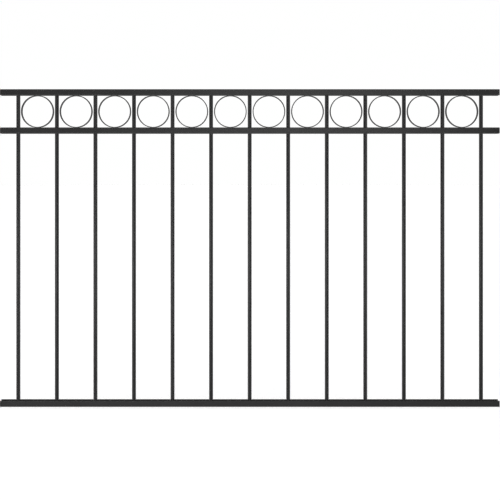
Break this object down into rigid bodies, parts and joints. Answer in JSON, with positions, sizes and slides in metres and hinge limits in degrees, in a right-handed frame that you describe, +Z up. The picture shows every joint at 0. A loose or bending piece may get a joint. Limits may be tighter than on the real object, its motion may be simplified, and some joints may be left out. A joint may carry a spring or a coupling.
{
  "type": "steel fence panel",
  "caption": "Flat rectangular metal fence panel with square tube rails, upright round pickets and a band of open rings under the top rail, for fixing between posts.",
  "frame": {"origin": "underside of the bottom rail, at the middle of the panel's length and depth", "axes": "+X along the panel to the right as seen in the picture, -Y towards the viewer, +Z up"},
  "size_m": [1.7, 0.02, 1.08],
  "materials": {
    "powder_coat": "satin black powder coat with a fine orange-peel texture"
  },
  "bodies": {
    "root": {"top_rail": "powder_coat", "ring_rail": "powder_coat", "bottom_rail": "powder_coat", "picket_01": "powder_coat", "picket_02": "powder_coat", "picket_03": "powder_coat", "picket_04": "powder_coat", "picket_05": "powder_coat", "picket_06": "powder_coat", "picket_07": "powder_coat", "picket_08": "powder_coat", "picket_09": "powder_coat", "picket_10": "powder_coat", "picket_11": "powder_coat", "picket_12": "powder_coat", "picket_13": "powder_coat", "rings": "powder_coat"}
  },
  "joints": []
}
